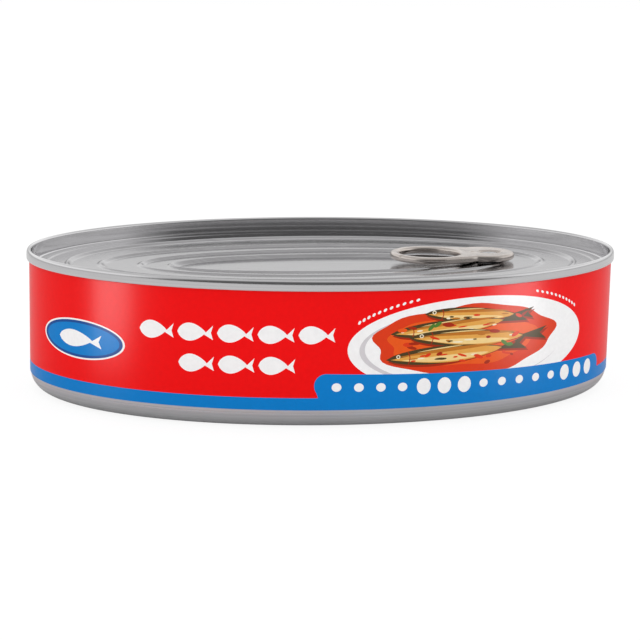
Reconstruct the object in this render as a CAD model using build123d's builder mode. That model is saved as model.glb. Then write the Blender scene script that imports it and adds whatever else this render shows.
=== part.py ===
"""Oval easy-open fish tin: drawn can body, seamed lid, ring-pull tab and wrap-round label.

Millimetres. The origin is the centre of the standing base, +X runs along the tin
towards the nose of the tab, and +Z points up.
"""
from build123d import *
import os

# ---- overall size over the seam ----
length = 163.5
width = 111.1
height = 38.1

# ---- seam, where the lid is rolled over the body's edge ----
seam_height = 2.8
seam_thickness = 1.35
seam_overhang = 0.9
seam_top_round = 0.6
seam_foot_round = 0.4

# ---- drawn body ----
body_wall = 0.25
base_corner_radius = 5.0
standing_ring_width = 2.5
base_recess = 0.8
base_recess_round = 0.7

# ---- label ----
label_thickness = 0.2
label_bottom = 5.0

# ---- lid: a ledge below the seam's top, with a groove round it and steps down inside it ----
# each step has a drop from the one outside it, and a width as (at the ends, at the sides)
ledge_depth = 4.0
ledge_width = (2.3, 2.3)
ledge_round = 0.2
groove_drop = 0.5
groove_width = 1.2
outer_step_drop = 0.25
outer_step_width = (5.9, 8.7)
second_step_drop = 0.25
second_step_width = (9.0, 13.0)
third_step_drop = 0.25
third_step_width = (11.0, 8.0)
inner_step_drop = 0.25
inner_step_width = (8.0, 7.0)
panel_drop = 0.4
step_round = 0.15
lid_sheet = 0.5
plug_clearance = 0.02

# ---- pull tab and the rivet that holds it ----
tab_from_wall = 26.2
tab_length = 35.4
tab_ring_radius = 11.0
tab_nose_radius = 8.6
tab_shoulder_half_width = 10.6
tab_waist_half_width = 8.0
tab_waist_from_nose = 12.0
tab_band_width = 2.4
tab_height = 1.9
tab_edge_round = 0.8
tab_web = 0.5
finger_hole_round = 0.8
rivet_from_nose = 6.9
rivet_seat_height = 1.35
rivet_seat_radius = 3.4
rivet_stem_radius = 1.9
rivet_head_radius = 2.9
rivet_head_height = 0.55
rivet_head_round = 0.45
rivet_well_radius = 3.8
rivet_clearance = 0.05

# ---- sizes that follow ----
rim = (length / 2, width / 2)
seam_foot_z = height - seam_height


def inset(oval, distance):
    """Half-length and half-width of an oval drawn in by one distance all round."""
    return (oval[0] - distance, oval[1] - distance)


def step_in(oval, step_width):
    """Half-length and half-width of the oval inside a step of the lid."""
    return (oval[0] - step_width[0], oval[1] - step_width[1])


body = inset(rim, seam_overhang)
mouth = inset(body, body_wall)
chuck_wall = inset(rim, seam_thickness)
ledge_outer = inset(chuck_wall, groove_width)
ledge_inner = step_in(ledge_outer, ledge_width)
outer_step_inner = step_in(ledge_inner, outer_step_width)
second_step_inner = step_in(outer_step_inner, second_step_width)
third_step_inner = step_in(second_step_inner, third_step_width)
panel = step_in(third_step_inner, inner_step_width)
standing_ring_outer = inset(body, base_corner_radius)
standing_ring_inner = inset(standing_ring_outer, standing_ring_width)
ledge_z = height - ledge_depth
panel_z = ledge_z - outer_step_drop - second_step_drop - third_step_drop - inner_step_drop - panel_drop
lid_underside_z = panel_z - lid_sheet
tab_bottom_z = panel_z + rivet_seat_height
tab_web_top_z = tab_bottom_z + tab_web
tab_nose_end = chuck_wall[0] - tab_from_wall
tab_nose_x = tab_nose_end - tab_nose_radius
tab_waist_x = tab_nose_end - tab_waist_from_nose
tab_ring_x = tab_nose_end - tab_length + tab_ring_radius
rivet_x = tab_nose_end - rivet_from_nose
finger_hole_radius = tab_ring_radius - tab_band_width


def is_level(edge):
    """Whether an edge lies flat in one level plane."""
    return edge.bounding_box().size.Z < 0.01


def edges_at(part, z):
    """The edges of a part that lie in the level plane at z, from the longest to the shortest."""
    return part.edges().filter_by(is_level).filter_by_position(Axis.Z, z - 0.01, z + 0.01).sort_by(
        Edge.length, reverse=True
    )


def is_finger_hole_edge(edge):
    """Whether an edge of the tab is one of the two circles of its finger hole."""
    return edge.geom_type == GeomType.CIRCLE and abs(edge.radius - finger_hole_radius) < 0.01


# ---- can body, full up to the lid's underside ----
with BuildPart() as can_body:
    with BuildSketch(Plane.XY):
        Ellipse(*body)
    extrude(amount=seam_foot_z)
    fillet(edges_at(can_body, 0), radius=base_corner_radius)
    # the base panel sits above a flat standing ring
    with BuildSketch(Plane.XY):
        Ellipse(*standing_ring_inner)
    extrude(amount=base_recess, mode=Mode.SUBTRACT)
    fillet(edges_at(can_body, base_recess), radius=base_recess_round)
    # the mouth takes the lid's plug
    with BuildSketch(Plane.XY.offset(lid_underside_z)):
        Ellipse(*mouth)
    extrude(amount=seam_foot_z - lid_underside_z, mode=Mode.SUBTRACT)
can_body.part.label = "can_body"

# ---- label, round the straight part of the wall up to the seam ----
with BuildPart() as label:
    with BuildSketch(Plane.XY.offset(label_bottom)):
        Ellipse(*inset(body, -label_thickness))
        Ellipse(*body, mode=Mode.SUBTRACT)
    extrude(amount=seam_foot_z - label_bottom)
label.part.label = "label"

# ---- lid: a plug in the mouth, the seam ring over the body's edge, and the stepped panel ----
with BuildPart() as lid:
    with BuildSketch(Plane.XY.offset(lid_underside_z)):
        Ellipse(*inset(mouth, plug_clearance))
    extrude(amount=seam_foot_z - lid_underside_z)
    with BuildSketch(Plane.XY.offset(seam_foot_z)):
        Ellipse(*rim)
    extrude(amount=seam_height)
    fillet(edges_at(lid, height), radius=seam_top_round)
    fillet(edges_at(lid, seam_foot_z)[0], radius=seam_foot_round)
    # inside the chuck wall the lid lies down at its outer ledge
    with BuildSketch(Plane.XY.offset(ledge_z)):
        Ellipse(*chuck_wall)
    extrude(amount=ledge_depth, mode=Mode.SUBTRACT)
    fillet(edges_at(lid, height)[-1], radius=seam_top_round)
    # the groove runs along the foot of the chuck wall
    with BuildSketch(Plane.XY.offset(ledge_z)):
        Ellipse(*chuck_wall)
        Ellipse(*ledge_outer, mode=Mode.SUBTRACT)
    extrude(amount=-groove_drop, mode=Mode.SUBTRACT)
    fillet(edges_at(lid, ledge_z), radius=ledge_round)
    # each step is lower than the one outside it, down to the panel in the middle
    level_outside = ledge_z
    for oval, drop in (
        (ledge_inner, outer_step_drop),
        (outer_step_inner, second_step_drop),
        (second_step_inner, third_step_drop),
        (third_step_inner, inner_step_drop),
        (panel, panel_drop),
    ):
        with BuildSketch(Plane.XY.offset(level_outside)):
            Ellipse(*oval)
        extrude(amount=-drop, mode=Mode.SUBTRACT)
        fillet(edges_at(lid, level_outside)[-1], radius=min(step_round, drop / 2))
        level_outside -= drop
    # the rivet is drawn up out of the lid: a seat for the tab, a stem and a head
    with BuildSketch(Plane.XY.offset(panel_z)):
        with Locations((rivet_x, 0)):
            Circle(rivet_seat_radius)
    extrude(amount=rivet_seat_height)
    with BuildSketch(Plane.XY.offset(tab_bottom_z)):
        with Locations((rivet_x, 0)):
            Circle(rivet_stem_radius)
    extrude(amount=tab_web)
    with BuildSketch(Plane.XY.offset(tab_web_top_z)):
        with Locations((rivet_x, 0)):
            Circle(rivet_head_radius)
    extrude(amount=rivet_head_height)
    fillet(edges_at(lid, tab_web_top_z + rivet_head_height), radius=rivet_head_round)
lid.part.label = "lid"

# ---- pull tab: a ring at one end, a nose at the other, and a well for the rivet between them ----
with BuildPart() as pull_tab:
    with BuildSketch(Plane.XY.offset(tab_bottom_z)):
        with Locations((tab_ring_x, 0)):
            Circle(tab_ring_radius)
        with Locations((tab_nose_x, 0)):
            Circle(tab_nose_radius)
        with BuildLine():
            Polyline(
                (tab_ring_x, tab_shoulder_half_width),
                (tab_waist_x, tab_waist_half_width),
                (tab_waist_x, -tab_waist_half_width),
                (tab_ring_x, -tab_shoulder_half_width),
                close=True,
            )
        make_face()
    extrude(amount=tab_height)
    fillet(edges_at(pull_tab, tab_bottom_z), radius=tab_edge_round)
    fillet(edges_at(pull_tab, tab_bottom_z + tab_height), radius=tab_edge_round)
    with BuildSketch(Plane.XY.offset(tab_bottom_z)):
        with Locations((tab_ring_x, 0)):
            Circle(finger_hole_radius)
    extrude(amount=tab_height, mode=Mode.SUBTRACT)
    fillet(pull_tab.edges().filter_by(is_finger_hole_edge), radius=finger_hole_round)
    with BuildSketch(Plane.XY.offset(tab_web_top_z)):
        with Locations((rivet_x, 0)):
            Circle(rivet_well_radius)
    extrude(amount=tab_height - tab_web, mode=Mode.SUBTRACT)
    with BuildSketch(Plane.XY.offset(tab_bottom_z)):
        with Locations((rivet_x, 0)):
            Circle(rivet_stem_radius + rivet_clearance)
    extrude(amount=tab_web, mode=Mode.SUBTRACT)
pull_tab.part.label = "pull_tab"

os.makedirs("parts", exist_ok=True)
export_step(can_body.part, "parts/can_body.step")
export_step(label.part, "parts/label.step")
export_step(lid.part, "parts/lid.step")
export_step(pull_tab.part, "parts/pull_tab.step")
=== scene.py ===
"""Looks of the oval fish tin: drawn tinplate body, seamed lid, ring-pull tab and printed label.

The tin's own sizes are in millimetres, and are turned to metres where a vertex is placed.
Materials, lamps, the floor and the camera are in metres.
The tin's overall sizes come from the frame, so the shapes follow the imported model.
"""
import math
import random

import bpy
import numpy as np
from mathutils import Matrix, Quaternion, Vector
from mathutils.geometry import delaunay_2d_cdt


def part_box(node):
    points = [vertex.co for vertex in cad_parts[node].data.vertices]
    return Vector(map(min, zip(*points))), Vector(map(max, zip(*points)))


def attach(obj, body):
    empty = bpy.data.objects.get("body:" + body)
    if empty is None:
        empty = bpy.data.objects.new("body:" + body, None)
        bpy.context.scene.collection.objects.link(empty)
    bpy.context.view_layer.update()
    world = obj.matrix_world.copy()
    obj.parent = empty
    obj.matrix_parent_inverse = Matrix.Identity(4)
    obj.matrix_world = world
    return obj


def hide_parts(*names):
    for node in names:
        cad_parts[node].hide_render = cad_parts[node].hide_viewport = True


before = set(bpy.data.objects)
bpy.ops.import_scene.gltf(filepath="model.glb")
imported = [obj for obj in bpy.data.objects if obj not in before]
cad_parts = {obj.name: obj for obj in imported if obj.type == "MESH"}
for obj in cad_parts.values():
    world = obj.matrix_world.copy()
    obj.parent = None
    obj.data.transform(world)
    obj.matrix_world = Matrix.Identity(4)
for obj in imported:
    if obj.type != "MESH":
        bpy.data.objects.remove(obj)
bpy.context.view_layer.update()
MM = 0.001


def node_box(node):
    """A CAD node's lowest and highest corners, in millimetres."""
    low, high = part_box(node)
    return [value / MM for value in low], [value / MM for value in high]


# ---- sizes from the frame ----
lid_low, lid_high = node_box("lid")
body_low, body_high = node_box("can_body")
label_low, label_high = node_box("label")
tab_low, tab_high = node_box("pull_tab")
RIM = (lid_high[0], round((lid_high[1] - lid_low[1]) / 2, 1))
RIM_TOP = lid_high[2]
SEAM_FOOT = body_high[2]
BODY = (body_high[0], round((body_high[1] - body_low[1]) / 2, 1))
LABEL_BOTTOM = label_low[2]
LABEL_TOP = label_high[2]

# ---- shape details ----
AROUND = 360
CORNER_RADIUS = 5.0
STANDING_RING = 2.5
BASE_RECESS = 0.8
LABEL_THICKNESS = 0.2
LABEL_GAP = 0.01
LABEL = (BODY[0] + LABEL_THICKNESS, BODY[1] + LABEL_THICKNESS)
SEAM_THICKNESS = 1.35
SEAM_ROUND = 0.66
SEAM_SHOULDER = 1.1
LID_PLUG_INSET = 1.2
LEDGE_DEPTH = 4.0
LEDGE_WIDTH = 3.5
GROOVE_DEPTH = LEDGE_DEPTH + 0.55
# each step down towards the panel: inset from the ledge's inner edge at the ends and at the sides, and drop
LID_STEPS = ((0.0, 0.0, 0.25), (5.9, 8.7, 0.25), (14.9, 21.7, 0.25), (25.9, 29.7, 0.25), (33.9, 36.7, 0.60))
# a raised lip runs along each step's edge; it and the fall take these shares of the way to the next edge
LIP_HEIGHT = 0.40
LIP_SHARE = 0.12
FALL_SHARE = 0.16
LAST_STEP_SCALE = 0.35


# ---------------------------------------------------------------- mesh helpers
def new_piece(name, vertices, faces, materials, replaced, face_materials=None):
    """A smooth mesh piece that rides on the tin and stands for a CAD node."""
    mesh = bpy.data.meshes.new(name)
    mesh.from_pydata([Vector(v) * MM for v in vertices], [], faces)
    for material in materials:
        mesh.materials.append(material)
    if face_materials is not None:
        mesh.polygons.foreach_set("material_index", face_materials)
    mesh.polygons.foreach_set("use_smooth", [True] * len(mesh.polygons))
    mesh.validate()
    mesh.update()
    piece = bpy.data.objects.new(name, mesh)
    bpy.context.scene.collection.objects.link(piece)
    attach(piece, "root")
    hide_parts(replaced)
    return piece


def oval_rings(profile, centre_x=0.0, around=AROUND):
    """Vertices and faces of a closed oval shell.

    The profile runs from the axis out and back to the axis, as (half-length, half-width, z);
    its first and last entries have no width and become single points.
    """
    angles = [2 * math.pi * i / around for i in range(around)]
    vertices = [(centre_x, 0, profile[0][2])]
    for half_length, half_width, z in profile[1:-1]:
        vertices += [(centre_x + half_length * math.cos(a), half_width * math.sin(a), z) for a in angles]
    vertices.append((centre_x, 0, profile[-1][2]))
    neighbours = [(i, (i + 1) % around) for i in range(around)]
    starts = [1 + ring * around for ring in range(len(profile) - 2)]
    faces = [(0, 1 + j, 1 + i) for i, j in neighbours]
    for low, high in zip(starts, starts[1:]):
        faces += [(low + i, low + j, high + j, high + i) for i, j in neighbours]
    faces += [(starts[-1] + i, starts[-1] + j, len(vertices) - 1) for i, j in neighbours]
    return vertices, faces


def inset(oval, distance):
    """An oval's half-length and half-width, drawn in by one distance all round."""
    return (oval[0] - distance, oval[1] - distance)


def quarter(oval, distance_from, z_from, distance_to, z_to, steps, outward_first):
    """Profile points of a quarter round between two insets of an oval."""
    points = []
    for k in range(steps + 1):
        turn = math.pi / 2 * k / steps
        if outward_first:
            across, along = math.sin(turn), 1 - math.cos(turn)
        else:
            across, along = 1 - math.cos(turn), math.sin(turn)
        a, b = inset(oval, distance_from + (distance_to - distance_from) * across)
        points.append((a, b, z_from + (z_to - z_from) * along))
    return points


def ease(share):
    """A smooth rise from 0, at a share of 0 or less, to 1, at a share of 1 or more."""
    share = np.clip(share, 0, 1)
    return share * share * (3 - 2 * share)


def smooth_step(low, high, value):
    """0 below low, 1 above high, and a smooth rise between them."""
    return ease((value - low) / (high - low))


# ---------------------------------------------------------------- materials
def principled(name, colour, roughness, metallic=0.0):
    """A material with a Principled shader, and the node tree to build on."""
    material = bpy.data.materials.new(name)
    material.use_nodes = True
    tree = material.node_tree
    shader = tree.nodes["Principled BSDF"]
    shader.inputs["Base Color"].default_value = (*colour, 1)
    shader.inputs["Roughness"].default_value = roughness
    shader.inputs["Metallic"].default_value = metallic
    return material, tree, shader


def ramp(tree, source, low, high, low_value, high_value):
    """Maps a factor from one range to another."""
    node = tree.nodes.new("ShaderNodeMapRange")
    tree.links.new(source, node.inputs["Value"])
    for name, value in zip(("From Min", "From Max", "To Min", "To Max"), (low, high, low_value, high_value)):
        node.inputs[name].default_value = value
    return node.outputs["Result"]


def noise_ramp(tree, source, low_value, high_value):
    """Spreads the usual span of a noise over a range of values."""
    return ramp(tree, source, 0.3, 0.7, low_value, high_value)


def multiply(tree, first, second):
    """The product of a factor and another factor or a plain number."""
    node = tree.nodes.new("ShaderNodeMath")
    node.operation = "MULTIPLY"
    tree.links.new(first, node.inputs[0])
    if isinstance(second, float):
        node.inputs[1].default_value = second
    else:
        tree.links.new(second, node.inputs[1])
    return node.outputs["Value"]


def noise(tree, scale, stretch, detail):
    """Noise in the object's own metres, stretched along each axis."""
    place = tree.nodes.new("ShaderNodeTexCoord")
    mapping = tree.nodes.new("ShaderNodeMapping")
    mapping.inputs["Scale"].default_value = stretch
    texture = tree.nodes.new("ShaderNodeTexNoise")
    texture.inputs["Scale"].default_value = scale
    texture.inputs["Detail"].default_value = detail
    tree.links.new(place.outputs["Object"], mapping.inputs["Vector"])
    tree.links.new(mapping.outputs["Vector"], texture.inputs["Vector"])
    return texture.outputs["Fac"]


def mix_colours(tree, factor, first, second):
    """A colour between two, by a factor."""
    node = tree.nodes.new("ShaderNodeMix")
    node.data_type = "RGBA"
    node.inputs["A"].default_value = (*first, 1)
    node.inputs["B"].default_value = (*second, 1)
    tree.links.new(factor, node.inputs["Factor"])
    return node.outputs["Result"]


def tinplate(name, dark, pale, roughness, stretch, line_depth):
    """Satin tinplate: fine rolling lines across the stretched axis, and slow changes of tone."""
    material, tree, shader = principled(name, pale, roughness, metallic=1.0)
    lines = noise(tree, 1.0, stretch, detail=4.0)
    clouds = noise(tree, 60.0, (1, 1, 1), detail=2.0)
    tone = multiply(tree, noise_ramp(tree, lines, 0.0, 1.0), noise_ramp(tree, clouds, 0.6, 1.0))
    tree.links.new(mix_colours(tree, tone, dark, pale), shader.inputs["Base Color"])
    tree.links.new(noise_ramp(tree, lines, roughness + 0.05, roughness - 0.05), shader.inputs["Roughness"])
    bump = tree.nodes.new("ShaderNodeBump")
    bump.inputs["Strength"].default_value = 0.25
    bump.inputs["Distance"].default_value = line_depth * MM
    tree.links.new(lines, bump.inputs["Height"])
    tree.links.new(bump.outputs["Normal"], shader.inputs["Normal"])
    return material


def ink(name, colour):
    """Printed paper with a faint mottle in the ink and a soft varnish over it."""
    material, tree, shader = principled(name, colour, INK_ROUGHNESS)
    shader.inputs["Specular IOR Level"].default_value = INK_SHINE
    mottle = noise_ramp(tree, noise(tree, 900.0, (1, 1, 1), detail=3.0), 0.0, 1.0)
    darker = tuple(0.95 * channel for channel in colour)
    tree.links.new(mix_colours(tree, mottle, darker, colour), shader.inputs["Base Color"])
    return material


INK_ROUGHNESS = 0.28
INK_SHINE = 0.08
# plates: dark and pale tone, roughness, stretch of the rolling lines and their depth in millimetres
BODY_PLATE = tinplate("body_tinplate", (0.575, 0.57, 0.585), (0.75, 0.745, 0.76), 0.32, (8, 8, 4000), 0.008)
# the seam's plate has its own rolling lines and roughness; its paler tones are painted highlight, a lit copy
# of the lid's plate
SEAM_PLATE_PAINTED_HIGHLIGHT = tinplate("seam_tinplate_painted_highlight", (0.66, 0.655, 0.665), (0.79, 0.785, 0.795), 0.13, (8, 8, 3000), 0.004)
LID_PLATE = tinplate("lid_tinplate", (0.46, 0.455, 0.465), (0.56, 0.555, 0.565), 0.16, (60, 2500, 60), 0.004)
TAB_PLATE = tinplate("tab_tinplate", (0.60, 0.54, 0.50), (0.68, 0.62, 0.58), 0.24, (250, 250, 250), 0.0)
INKS = {
    "red": ink("ink_red", (0.86, 0.002, 0.003)),
    "blue": ink("ink_blue", (0.001, 0.20, 0.58)),
    "deep_blue": ink("ink_deep_blue", (0.01, 0.07, 0.28)),
    "white": ink("ink_white", (0.90, 0.90, 0.90)),
    "shade": ink("ink_shade", (0.62, 0.60, 0.62)),
    "sauce": ink("ink_sauce", (0.70, 0.045, 0.010)),
    "sauce_dark": ink("ink_sauce_dark", (0.36, 0.025, 0.006)),
    "sauce_light": ink("ink_sauce_light", (0.80, 0.10, 0.012)),
    "amber": ink("ink_amber", (0.50, 0.17, 0.02)),
    "cream": ink("ink_cream", (0.88, 0.80, 0.60)),
    "gold": ink("ink_gold", (0.74, 0.36, 0.07)),
    "pale_gold": ink("ink_pale_gold", (0.86, 0.62, 0.26)),
    "olive": ink("ink_olive", (0.075, 0.050, 0.018)),
    "leaf": ink("ink_leaf", (0.08, 0.20, 0.03)),
}


# ---------------------------------------------------------------- can body
def make_body():
    """The drawn body: base panel with a bead round it, standing ring, round corner and straight wall."""
    ring_inner = CORNER_RADIUS + STANDING_RING
    profile = [(0, 0, BASE_RECESS)]
    for share in (0.3, 0.6, 0.8):
        profile.append((*(share * size for size in inset(BODY, ring_inner + 3)), BASE_RECESS))
    bead_at, bead_half_width, bead_height = ring_inner + 4.5, 1.6, 0.5
    for k in range(13):
        across = bead_half_width * (1 - k / 6)
        lift = bead_height * (1 + math.cos(math.pi * across / bead_half_width)) / 2
        profile.append((*inset(BODY, bead_at + across), BASE_RECESS + lift))
    profile += quarter(BODY, ring_inner + BASE_RECESS, BASE_RECESS, ring_inner, 0.0, 8, True)
    profile += quarter(BODY, CORNER_RADIUS, 0.0, 0.0, CORNER_RADIUS, 20, True)
    for z in (10.0, 20.0, 30.0, SEAM_FOOT):
        profile.append((*BODY, z))
    # the top is closed just under the lid's shell, out of sight
    closed_at = lid_low[2] - 0.1
    profile += [(*inset(BODY, 0.2), SEAM_FOOT), (*inset(BODY, 0.4), closed_at), (0, 0, closed_at)]
    vertices, faces = oval_rings(profile)
    return new_piece("body_shell", vertices, faces, [BODY_PLATE], "can_body")


# ---------------------------------------------------------------- lid
def lid_profile():
    """Seam, chuck wall, groove, ledge and the stepped panel, from under the seam to the middle."""
    underside = lid_low[2]
    plug = inset(RIM, LID_PLUG_INSET)
    wall = inset(RIM, SEAM_THICKNESS)
    ledge = inset(wall, LEDGE_WIDTH)
    ledge_z = RIM_TOP - LEDGE_DEPTH
    groove_z = RIM_TOP - GROOVE_DEPTH
    # the seam: rolled foot, straight side, round shoulder and round inner edge
    profile = [(0, 0, underside), (*plug, underside), (*plug, SEAM_FOOT)]
    profile += quarter(RIM, 0.55, SEAM_FOOT, 0.0, SEAM_FOOT + 0.5, 6, True)
    profile.append((*RIM, SEAM_FOOT + 1.2))
    profile += quarter(RIM, 0.0, RIM_TOP - SEAM_SHOULDER, SEAM_ROUND, RIM_TOP, 14, False)
    profile += quarter(RIM, SEAM_THICKNESS - SEAM_ROUND, RIM_TOP,
                       SEAM_THICKNESS, RIM_TOP - SEAM_ROUND, 10, True)
    # the plumb wall, the groove at its foot and the ledge
    profile.append((*wall, ledge_z + 0.6))
    profile += quarter(wall, 0.0, groove_z + 0.5, 0.5, groove_z, 6, False)
    profile += quarter(wall, 0.8, groove_z, 1.1, groove_z + 0.3, 6, True)
    profile += quarter(wall, 1.15, ledge_z - 0.25, 1.5, ledge_z, 6, False)
    profile.append((*inset(wall, 2.4), ledge_z - 0.02))
    # the steps, with close rings near both ends of each
    near_end = [0.018 * k for k in range(12)]
    shares = near_end + [0.3, 0.42, 0.54, 0.66, 0.76] + [1 - share for share in reversed(near_end[1:])]
    edges = [(ledge[0] - at_end, ledge[1] - at_side) for at_end, at_side, _ in LID_STEPS] + [(0, 0)]
    level = ledge_z
    for number, (_, _, drop) in enumerate(LID_STEPS):
        outer, inner = edges[number], edges[number + 1]
        first, last = number == 0, number + 1 == len(LID_STEPS)
        scale = LAST_STEP_SCALE if last else 1.0
        for share in shares:
            fall = smooth_step(0.0, FALL_SHARE * scale, share)
            lip_before = 0.0 if first else LIP_HEIGHT * (1 - smooth_step(0.0, LIP_SHARE * scale, share))
            lip_after = 0.0 if last else LIP_HEIGHT * smooth_step(1 - LIP_SHARE, 1.0, share)
            a = outer[0] + (inner[0] - outer[0]) * share
            b = outer[1] + (inner[1] - outer[1]) * share
            profile.append((a, b, level - drop * fall + lip_before + lip_after))
        level -= drop
    profile.append((0, 0, level))
    return profile


def make_lid():
    """The lid as one closed shell, with brighter plate on the seam and down its inner wall: that extra
    brightness is painted highlight.
    """
    vertices, faces = oval_rings(lid_profile())
    past_wall = 1.2
    seam_share = (RIM[0] - SEAM_THICKNESS - past_wall) / RIM[0]
    seam_from = SEAM_FOOT - 0.1
    # faces on the seam and down the inner wall take the paler plate, which paints highlight there
    outside = [(x / RIM[0]) ** 2 + (y / RIM[1]) ** 2 > seam_share ** 2 for x, y, _ in vertices]
    seam_faces_painted_brighter = [vertices[face[0]][2] > seam_from or all(outside[i] for i in face) for face in faces]
    return new_piece("lid_shell", vertices, faces, [LID_PLATE, SEAM_PLATE_PAINTED_HIGHLIGHT], "lid", seam_faces_painted_brighter)


# ---------------------------------------------------------------- pull tab
TAB_RING_RADIUS = (tab_high[1] - tab_low[1]) / 2
TAB_RING_X = tab_low[0] + TAB_RING_RADIUS
TAB_NOSE_RADIUS = 8.6
TAB_NOSE_X = tab_high[0] - TAB_NOSE_RADIUS
TAB_WAIST = (TAB_NOSE_X - 4.4, 8.3)
TAB_BAND = 2.4
TAB_EDGE_ROUND = 0.95
HOLE_RADIUS = TAB_RING_RADIUS - TAB_BAND
RIVET_X = tab_high[0] - 6.9
TAB_HALF_HEIGHT = (tab_high[2] - tab_low[2]) / 2
TAB_MID_Z = (tab_high[2] + tab_low[2]) / 2


def tab_outline():
    """The tab's outline, anticlockwise: the ring's arc, the waist and the nose's arc, rounded together."""
    ring_share, nose_arc = 0.56, math.radians(116)
    even_points, smoothing_passes = 480, 12
    half = []
    for k in range(41):
        a = math.pi * (1 - ring_share * k / 40)
        half.append((TAB_RING_X + TAB_RING_RADIUS * math.cos(a), TAB_RING_RADIUS * math.sin(a)))
    last = half[-1]
    for k in range(1, 12):
        share = k / 12
        half.append(tuple(last[i] + (TAB_WAIST[i] - last[i]) * share for i in (0, 1)))
    for k in range(31):
        a = nose_arc * (1 - k / 30)
        half.append((TAB_NOSE_X + TAB_NOSE_RADIUS * math.cos(a), TAB_NOSE_RADIUS * math.sin(a)))
    other = [(x, -y) for x, y in reversed(half[1:-1])]
    points = np.array(half + other)[::-1]
    closed = np.vstack([points, points[:1]])
    length = np.concatenate([[0], np.cumsum(np.hypot(*np.diff(closed, axis=0).T))])
    even = np.linspace(0, length[-1], even_points + 1)[:-1]
    points = np.stack([np.interp(even, length, closed[:, i]) for i in (0, 1)], axis=1)
    for _ in range(smoothing_passes):
        points = (np.roll(points, 1, axis=0) + 2 * points + np.roll(points, -1, axis=0)) / 4
    return points


def distance_to_outline(points, outline):
    """Distance of each point from a closed outline of short edges."""
    start, end = outline, np.roll(outline, -1, axis=0)
    along = end - start
    offset = points[:, None, :] - start[None]
    share = np.clip((offset * along).sum(-1) / (along ** 2).sum(-1), 0, 1)
    nearest = offset - share[..., None] * along
    return np.sqrt((nearest ** 2).sum(-1)).min(axis=1)


def rounded_height(to_edge):
    """Half-thickness of a plain tab with rounded edges, by distance from the nearest edge."""
    squareness = 2.4
    near = np.clip(to_edge, 0, TAB_EDGE_ROUND) / TAB_EDGE_ROUND
    return TAB_HALF_HEIGHT * np.clip(1 - (1 - near) ** squareness, 0, 1) ** (1 / squareness)


def upper_height(points, to_edge):
    """Height of the tab's upper face above its middle plane: curled rim, web, rivet well, bump and slit."""
    height = rounded_height(to_edge)
    curl_width, web_dip = 2.0, 0.12
    height -= web_dip * ease((to_edge - curl_width) / 0.9)
    well_radius, well_depth, well_stretch = 3.1, 0.6, 1.2
    to_rivet = np.hypot((points[:, 0] - RIVET_X) / well_stretch, points[:, 1])
    height -= well_depth * ease((well_radius - to_rivet) / 0.8)
    bump_x, bump_height, bump_radius = RIVET_X - 4.9, 0.35, 0.95
    to_bump = np.hypot(points[:, 0] - bump_x, points[:, 1])
    height += bump_height * np.exp(-(to_bump / bump_radius) ** 2)
    # the slit where the curl's ends meet, across the ring's band
    turn, slit_radius = math.radians(208), TAB_RING_RADIUS - 0.7
    outward = np.array([math.cos(turn), math.sin(turn)])
    sideways = np.array([-math.sin(turn), math.cos(turn)])
    from_slit = points - (np.array([TAB_RING_X, 0]) + slit_radius * outward)
    across, along = from_slit @ sideways / 0.25, from_slit @ outward / 0.8
    height *= 1 - 0.9 * np.exp(-across ** 2 - along ** 4)
    return height


def make_tab():
    """The ring-pull tab: rounded curled edges, a finger hole, a web with a rivet well and a small bump."""
    outline = tab_outline()
    centre = np.array([TAB_RING_X, 0])
    tangent = np.roll(outline, -1, axis=0) - np.roll(outline, 1, axis=0)
    inward = np.stack([-tangent[:, 1], tangent[:, 0]], axis=1)
    inward /= np.linalg.norm(inward, axis=1)[:, None]

    def distance_to_edge(places):
        """Distance of each point from the outline or the finger hole, whichever is nearer."""
        to_hole = np.hypot(*(places - centre).T) - HOLE_RADIUS
        return np.minimum(distance_to_outline(places, outline), to_hole)

    # rings of points along both edges, and a grid between them
    insets = (0.0, 0.02, 0.08, 0.18, 0.32, 0.5, 0.7, TAB_EDGE_ROUND)
    hole_points, grid_step, grid_half_width = 120, 0.42, 11
    hole_turn = np.linspace(0, 2 * np.pi, hole_points + 1)[:-1]
    circle = np.stack([np.cos(hole_turn), np.sin(hole_turn)], axis=1)
    rings = [outline + inward * distance for distance in insets]
    rings += [centre + circle * (HOLE_RADIUS + distance) for distance in insets]
    grid_x, grid_y = np.meshgrid(np.arange(tab_low[0], tab_high[0], grid_step),
                                 np.arange(-grid_half_width, grid_half_width, grid_step))
    grid = np.stack([grid_x.ravel(), grid_y.ravel()], axis=1)
    inside = points_inside(grid, outline) & (distance_to_edge(grid) > TAB_EDGE_ROUND + 0.2)
    points, edges = [], []
    for ring in rings:
        base = len(points)
        points += [tuple(p) for p in ring]
        edges += [(base + i, base + (i + 1) % len(ring)) for i in range(len(ring))]
    points += [tuple(p) for p in grid[inside]]
    flat, _, triangles, *_ = delaunay_2d_cdt([Vector(p) for p in points], edges, [], 0, 1e-6)
    flat = np.array([tuple(p) for p in flat])
    triangles = np.array([list(t) for t in triangles])
    middle = flat[triangles].mean(axis=1)
    past_hole = np.hypot(*(middle - centre).T) > HOLE_RADIUS * math.cos(math.pi / hole_points)
    triangles = triangles[points_inside(middle, outline) & past_hole]
    # the upper and lower faces share the vertices on the two edges
    to_edge = distance_to_edge(flat)
    on_edge = to_edge < 1e-4
    upper, lower = upper_height(flat, to_edge), rounded_height(to_edge)
    upper[on_edge] = 0
    used = sorted(set(triangles.ravel()))
    index_top = {old: new for new, old in enumerate(used)}
    index_bottom = dict(index_top)
    vertices = [(flat[i][0], flat[i][1], TAB_MID_Z + upper[i]) for i in used]
    for i in used:
        if not on_edge[i]:
            index_bottom[i] = len(vertices)
            vertices.append((flat[i][0], flat[i][1], TAB_MID_Z - lower[i]))
    faces = [tuple(index_top[i] for i in t) for t in triangles]
    faces += [tuple(index_bottom[i] for i in reversed(t)) for t in triangles]
    return new_piece("tab_plate", vertices, faces, [TAB_PLATE], "pull_tab")


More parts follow.
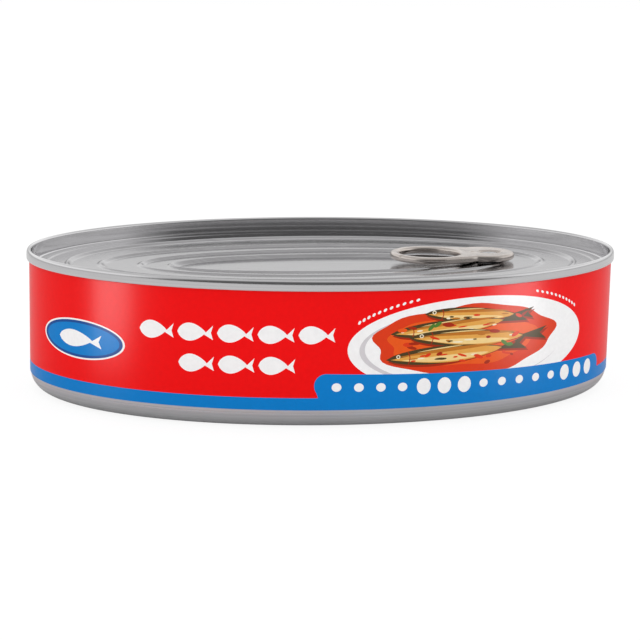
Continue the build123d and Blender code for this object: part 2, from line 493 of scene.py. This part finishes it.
def make_rivet():
    """The rivet's flattened head, drawn up out of the lid through the tab."""
    seat = tab_low[2]
    foot, head, top = seat - 1.5, seat + 0.9, seat + 1.45
    # (radius, z) from the foot, up the neck and over the head to its dished middle
    outline = ((3.4, foot), (3.4, seat - 0.02), (1.85, seat), (1.85, head), (2.1, head), (2.3, head + 0.15),
               (2.25, head + 0.35), (1.9, top), (1.0, top), (0.7, top - 0.12))
    profile = [(0, 0, foot)] + [(radius, radius, z) for radius, z in outline] + [(0, 0, top - 0.18)]
    vertices, faces = oval_rings(profile, RIVET_X, around=48)
    return new_piece("rivet", vertices, faces, [LID_PLATE], "lid")


# ---------------------------------------------------------------- label
def points_inside(points, outline):
    """Which points lie inside a closed outline."""
    x, y = points[:, 0][:, None], points[:, 1][:, None]
    x0, y0 = outline[:, 0][None], outline[:, 1][None]
    x1, y1 = np.roll(outline[:, 0], -1)[None], np.roll(outline[:, 1], -1)[None]
    crosses = (y0 > y) != (y1 > y)
    rise = np.where(y1 == y0, 1e-12, y1 - y0)
    return (crosses & (x < (x1 - x0) * (y - y0) / rise + x0)).sum(axis=1) % 2 == 1


def placed(centre, turn, x, y):
    """A point on the flat label, given from a centre along turned axes."""
    return (centre[0] + x * math.cos(turn) - y * math.sin(turn),
            centre[1] + x * math.sin(turn) + y * math.cos(turn))


def oval(centre, half_width, half_height, count=48, turn=0.0):
    """An oval outline on the flat label."""
    angles = [2 * math.pi * i / count for i in range(count)]
    return [placed(centre, turn, half_width * math.cos(a), half_height * math.sin(a)) for a in angles]


def fish(centre, length, height):
    """A plain fish outline with its nose to the left: a lens body and a forked tail."""
    upper = []
    for k in range(17):
        share = k / 16
        x = -length / 2 + length * 0.80 * share
        upper.append((x, height / 2 * math.sin(math.pi * share ** 0.8) ** 0.8))
    tail = [(length / 2, height * 0.40), (length * 0.44, 0), (length / 2, -height * 0.40)]
    lower = [(x, -y) for x, y in reversed(upper[1:-1])]
    return [(centre[0] + x, centre[1] + y) for x, y in upper + tail + lower]


def sardine(centre, length, height, turn, chance):
    """A drawn sardine from back to front: shadow, dark back, flank, belly, shine, flecks, gill and eye."""
    def at(x, y):
        """A point given from the sardine's middle along its own axes."""
        return placed(centre, turn, x, y)

    def crescent(start, end, top, bottom, count=18):
        """A strip along the body from start to end of its length, between two shares of its height."""
        middle, half = (top + bottom) / 2, (top - bottom) / 2
        upper, lower = [], []
        for k in range(count + 1):
            share = k / count
            body = math.sin(math.pi * (start + (end - start) * share)) ** 0.7
            pinch = math.sin(math.pi * share) ** 0.5
            x = length * (start + (end - start) * share - 0.5)
            upper.append(at(x, height / 2 * body * (middle + half * pinch)))
            lower.append(at(x, height / 2 * body * (middle - half * pinch)))
        return upper + lower[::-1][1:-1]

    body = fish((0, 0), length, height)
    shapes = [
        ("sauce_dark", [at(x + 0.5, y - 0.6) for x, y in body]),
        ("olive", [at(x, y) for x, y in body]),
        ("gold", crescent(0.03, 0.80, 0.62, -1.0)),
        ("pale_gold", crescent(0.10, 0.70, -0.15, -0.85)),
        ("amber", crescent(0.06, 0.76, 0.70, 0.28)),
        ("pale_gold", crescent(0.20, 0.52, 0.86, 0.72, 10)),
    ]
    for _ in range(9):
        spot = at(length * chance.uniform(-0.34, 0.24), height * chance.uniform(-0.34, 0.16))
        name = chance.choice(("amber", "olive", "sauce", "cream"))
        shapes.append((name, oval(spot, chance.uniform(0.5, 1.7), chance.uniform(0.14, 0.3), 10, turn)))
    gill_width = 0.25
    gill = [(-length * 0.36 + 0.5 * math.sin(math.pi * k / 8), height * (0.36 - 0.09 * k)) for k in range(9)]
    gill += [(x + gill_width, y) for x, y in reversed(gill)]
    eye = at(-length * 0.42, height * 0.12)
    shapes.append(("sauce_dark", [at(x, y) for x, y in gill]))
    shapes.append(("cream", oval(eye, 0.55, 0.5, 14)))
    shapes.append(("olive", oval(eye, 0.3, 0.28, 12)))
    return shapes


BAND_TOP = 8.2
PLATE = (30.6, 20.4)


def plate_of_fish():
    """A plate of sardines in sauce, with flecks and leaves, from back to front."""
    shapes = [
        ("white", oval(PLATE, 36.0, 12.4, 96)),
        ("shade", oval((PLATE[0] - 2.5, PLATE[1] - 0.2), 30.5, 10.0, 96)),
        ("white", oval((PLATE[0] - 1.6, PLATE[1] + 0.1), 30.0, 9.9, 96)),
    ]
    chance = random.Random(7)
    sauce_x, sauce_y = 28.0, 21.8
    sauce = []
    for i in range(72):
        a = 2 * math.pi * i / 72
        wave = 1 + 0.035 * math.sin(5 * a + 1) + 0.03 * math.sin(9 * a)
        sauce.append((sauce_x + 27.0 * wave * math.cos(a), sauce_y + 8.9 * wave * math.sin(a)))
    glaze = [(sauce_x + 0.80 * (x - sauce_x) - 1.5, sauce_y + 0.74 * (y - sauce_y)) for x, y in sauce]
    shapes += [("sauce", sauce), ("sauce_light", glaze)]
    for centre, length, height, turn in (
        ((31.0, 28.2), 33, 3.6, -3),
        ((25.5, 25.6), 40, 4.0, 4),
        ((31.5, 22.3), 42, 4.3, -2),
        ((25.0, 18.7), 41, 4.5, 3),
    ):
        shapes += sardine(centre, length, height, math.radians(turn), chance)
    for _ in range(22):
        spot = (28 + chance.uniform(-22, 22), 22 + chance.uniform(-6.5, 6.5))
        name = chance.choice(("sauce", "sauce_light", "sauce_dark"))
        half_size = (chance.uniform(0.5, 1.7), chance.uniform(0.25, 0.6))
        shapes.append((name, oval(spot, *half_size, 12, chance.uniform(-0.4, 0.4))))
    for spot in ((16.5, 25.6), (18.2, 26.2), (38.0, 20.2), (39.6, 19.6)):
        shapes.append(("leaf", oval(spot, 1.2, 0.5, 14, chance.uniform(-0.8, 0.8))))
    return shapes


def banner_outline():
    """A banner that rises out of the blue band, a little lower towards its right end."""
    left, right, top_left, top_right, corner = -13.7, 78.6, 14.4, 12.2, 3.1
    foot = BAND_TOP - 0.4
    outline = [(left + 1.2, foot)]
    for k in range(19):
        a = math.radians(215 - 125 * k / 18)
        outline.append((left + corner + corner * math.cos(a), top_left - corner + corner * math.sin(a)))
    for k in range(13):
        a = math.radians(90 - 90 * k / 12)
        outline.append((right - corner + corner * math.cos(a), top_right - corner + corner * math.sin(a)))
    outline.append((right, foot))
    return outline


def label_print():
    """The print from back to front, as (ink, outline) on the flat label: along the wall and up."""
    past_end, past_foot = 400, LABEL_BOTTOM - 1
    band = [(-past_end, past_foot), (past_end, past_foot), (past_end, BAND_TOP), (-past_end, BAND_TOP)]
    shapes = [("blue", band)] + plate_of_fish()
    # dotted arcs along the plate's upper edge
    for start, end in ((150, 118), (62, 30)):
        for k in range(11):
            a = math.radians(start + (end - start) * k / 10)
            spot = (PLATE[0] + 38.2 * math.cos(a), PLATE[1] + 14.0 * math.sin(a))
            shapes.append(("white", oval(spot, 0.55, 0.33, 10, a - math.pi / 2)))
    shapes.append(("blue", banner_outline()))
    # a line of drops on the banner, with two groups of big ones
    for k in range(15):
        share = k / 14
        spot = (-8.0 + 80.0 * share, 10.9 - 1.6 * share)
        half_size = (1.9, 2.1) if k in (4, 5, 6, 12, 13, 14) else (1.25, 1.1)
        shapes.append(("white", oval(spot, *half_size, 20)))
    # two lines of fish
    pitch = 10.2
    for count, first, up in ((5, -54.0, 24.3), (3, -43.5, 16.4)):
        shapes += [("white", fish((first + pitch * k, up), 9.2, 4.6)) for k in range(count)]
    # a badge with a fish
    badge = (-77.4, 19.2)
    for name, *half_size in (("white", 14.6, 5.2), ("deep_blue", 14.0, 4.8), ("blue", 13.0, 4.1)):
        shapes.append((name, oval(badge, *half_size, 64)))
    shapes.append(("white", fish(badge, 15.0, 4.4)))
    return [(name, np.array(outline)) for name, outline in shapes]


def wall_places():
    """Angle on the label's oval against distance along it, from the front's middle; and half its length."""
    angles = np.linspace(-math.pi / 2, 3 * math.pi / 2, 7201)
    x, y = LABEL[0] * np.cos(angles), LABEL[1] * np.sin(angles)
    along = np.concatenate([[0], np.cumsum(np.hypot(np.diff(x), np.diff(y)))])
    return angles, along, along[-1] / 2


def make_label():
    """The printed wrap: one thin closed sheet, cut into fields of ink along the print's outlines."""
    angles, along, half_length = wall_places()
    shapes = label_print()
    points, edges = [], []

    def add_line(line, closed):
        """Adds a line's points and its edges, which the triangles will keep to."""
        base = len(points)
        points.extend(line)
        last = len(line) if closed else len(line) - 1
        edges.extend((base + i, base + (i + 1) % len(line)) for i in range(last))

    add_line([(-half_length, LABEL_BOTTOM), (half_length, LABEL_BOTTOM),
              (half_length, LABEL_TOP), (-half_length, LABEL_TOP)], True)
    # upright lines all round, so that the sheet can bend
    columns = 216
    for k in range(1, columns):
        u = -half_length + 2 * half_length * k / columns
        add_line([(u, LABEL_BOTTOM), (u, LABEL_TOP)], False)
    for _, outline in shapes:
        clipped = np.clip(outline, (-half_length, LABEL_BOTTOM), (half_length, LABEL_TOP))
        add_line([tuple(p) for p in clipped], True)
    flat, _, triangles, *_ = delaunay_2d_cdt([Vector(p) for p in points], edges, [], 0, 1e-5)
    flat = np.array([tuple(p) for p in flat])
    triangles = np.array([list(t) for t in triangles])
    names = list(INKS)
    middle = flat[triangles].mean(axis=1)
    inks = np.full(len(triangles), names.index("red"))
    for name, outline in shapes:
        inks[points_inside(middle, outline)] = names.index(name)
    # bend the sheet round the wall, its two ends meeting behind
    angle = np.interp(flat[:, 0] % (2 * half_length), along, angles)
    angle = np.where(flat[:, 0] >= half_length, angle - 1e-6, angle)
    cosine, sine = np.cos(angle), np.sin(angle)
    outer = np.stack([LABEL[0] * cosine, LABEL[1] * sine, flat[:, 1]], axis=1)
    inner = np.stack([(BODY[0] + LABEL_GAP) * cosine, (BODY[1] + LABEL_GAP) * sine, flat[:, 1]], axis=1)
    count = len(flat)
    faces = [tuple(t) for t in triangles]
    faces += [tuple(count + i for i in reversed(t)) for t in triangles]
    # edges with a triangle on one side only are the sheet's border
    border = {}
    for t in triangles:
        for i in range(3):
            first, second = t[i], t[(i + 1) % 3]
            if (second, first) in border:
                del border[(second, first)]
            else:
                border[(first, second)] = True
    faces += [(second, first, first + count, second + count) for first, second in border]
    unprinted = len(faces) - len(triangles)
    face_inks = np.concatenate([inks, np.full(unprinted, names.index("white"))])
    piece = new_piece("label_wrap", np.vstack([outer, inner]), faces,
                      [INKS[name] for name in names], "label", face_inks)
    outward = np.stack([cosine / LABEL[0], sine / LABEL[1], np.zeros(count)], axis=1)
    outward /= np.linalg.norm(outward, axis=1)[:, None]
    piece.data.normals_split_custom_set_from_vertices([tuple(v) for v in np.vstack([outward, -outward])])
    return piece


# ---------------------------------------------------------------- stage
def make_floor():
    """A plain pale floor that shows nearly white and keeps a faint shadow; metal sees it as pale grey."""
    half_side = 3.0
    corners = [(-half_side, -half_side, 0), (half_side, -half_side, 0),
               (half_side, half_side, 0), (-half_side, half_side, 0)]
    mesh = bpy.data.meshes.new("floor")
    mesh.from_pydata(corners, [], [(0, 1, 2, 3)])
    floor = bpy.data.objects.new("floor", mesh)
    bpy.context.scene.collection.objects.link(floor)
    material, tree, shader = principled("floor_paper", (0.92, 0.92, 0.92), 0.9)
    rays = tree.nodes.new("ShaderNodeLightPath")
    surface = shader.outputs["BSDF"]
    # for each kind of ray, the glow's strength and its share of what the ray sees
    for ray, strength, share in (("Is Glossy Ray", 0.24, 0.45), ("Is Camera Ray", 1.04, 0.85)):
        glow = tree.nodes.new("ShaderNodeEmission")
        glow.inputs["Strength"].default_value = strength
        mixer = tree.nodes.new("ShaderNodeMixShader")
        tree.links.new(multiply(tree, rays.outputs[ray], share), mixer.inputs["Fac"])
        tree.links.new(surface, mixer.inputs[1])
        tree.links.new(glow.outputs["Emission"], mixer.inputs[2])
        surface = mixer.outputs["Shader"]
    tree.links.new(surface, tree.nodes["Material Output"].inputs["Surface"])
    mesh.materials.append(material)


def make_world():
    """A white studio. For glossy rays it has a dark card in front, as a camera and its stand would be."""
    world = bpy.data.worlds.new("studio")
    bpy.context.scene.world = world
    world.use_nodes = True
    tree = world.node_tree
    background = tree.nodes["Background"]
    rays = tree.nodes.new("ShaderNodeLightPath")
    place = tree.nodes.new("ShaderNodeTexCoord")
    split = tree.nodes.new("ShaderNodeSeparateXYZ")
    tree.links.new(place.outputs["Generated"], split.inputs["Vector"])
    up = split.outputs["Z"]
    # the card: towards the front, and not overhead
    in_front = ramp(tree, split.outputs["Y"], -0.42, -0.72, 0.0, 1.0)
    below_zenith = ramp(tree, up, 0.97, 0.85, 0.0, 1.0)
    reflected = ramp(tree, multiply(tree, in_front, below_zenith), 0.0, 1.0, 1.0, 0.14)
    # the studio is brightest between the floor's edge and overhead
    reflected = multiply(tree, reflected, ramp(tree, up, 0.10, 0.24, 0.55, 1.0))
    reflected = multiply(tree, reflected, ramp(tree, up, 0.35, 0.75, 1.0, 0.62))
    glossy_light = tree.nodes.new("ShaderNodeMix")
    tree.links.new(rays.outputs["Is Glossy Ray"], glossy_light.inputs["Factor"])
    glossy_light.inputs["A"].default_value = 0.95
    tree.links.new(reflected, glossy_light.inputs["B"])
    camera_light = tree.nodes.new("ShaderNodeMix")
    tree.links.new(rays.outputs["Is Camera Ray"], camera_light.inputs["Factor"])
    tree.links.new(glossy_light.outputs["Result"], camera_light.inputs["A"])
    camera_light.inputs["B"].default_value = 1.0
    tree.links.new(camera_light.outputs["Result"], background.inputs["Strength"])
    background.inputs["Color"].default_value = (1, 1, 1, 1)


def add_softbox(name, place, target, width, height, power):
    """A rectangular lamp aimed at a point, in metres and watts."""
    lamp = bpy.data.lights.new(name, "AREA")
    lamp.shape = "RECTANGLE"
    lamp.size, lamp.size_y, lamp.energy = width, height, power
    holder = bpy.data.objects.new(name, lamp)
    holder.location = place
    holder.rotation_euler = (Vector(target) - Vector(place)).to_track_quat("-Z", "Y").to_euler()
    bpy.context.scene.collection.objects.link(holder)
    return holder


def make_lights(label_wrap):
    """A soft box above, and two low upright strips that only give the label its bands of shine."""
    top_box = add_softbox("top_box", (0, 0.1, 1.3), (0, 0, 0.02), 1.2, 1.2, 5)
    top_box.visible_glossy = False
    label_only = bpy.data.collections.new("label_only")
    label_only.objects.link(label_wrap)
    strip_width, strip_height, strip_power = 0.035, 0.054, 0.115
    for name, wall_place, strip_place in (
        ("left_strip", (-0.064, -0.033, 0.028), (-0.138, -0.058, 0.028)),
        ("right_strip", (0.044, -0.046, 0.028), (0.111, -0.086, 0.028)),
    ):
        strip = add_softbox(name, strip_place, wall_place, strip_width, strip_height, strip_power)
        strip.visible_camera = False
        strip.visible_diffuse = False
        strip.light_linking.receiver_collection = label_only


def make_camera():
    """A long lens, a little above the rim and turned slightly to the left."""
    distance, rise, turn, roll = 0.53, math.radians(11.1), math.radians(12.0), math.radians(1.16)
    camera = bpy.data.cameras.new("camera")
    camera.sensor_width = 36.0
    camera.lens = 107.0865
    camera.shift_x = -0.00625
    camera.shift_y = -0.010625
    holder = bpy.data.objects.new("camera", camera)
    centre = Vector((0, 0, RIM_TOP * MM / 2))
    away = Vector((-math.cos(rise) * math.sin(turn), -math.cos(rise) * math.cos(turn), math.sin(rise)))
    holder.location = centre + distance * away
    aim = (-away).to_track_quat("-Z", "Y") @ Quaternion((0, 0, 1), roll)
    holder.rotation_euler = aim.to_euler()
    bpy.context.scene.collection.objects.link(holder)
    bpy.context.scene.camera = holder


bpy.context.scene.view_settings.view_transform = "Standard"
make_world()
make_floor()
make_camera()
make_body()
make_lid()
make_rivet()
make_tab()
make_lights(make_label())
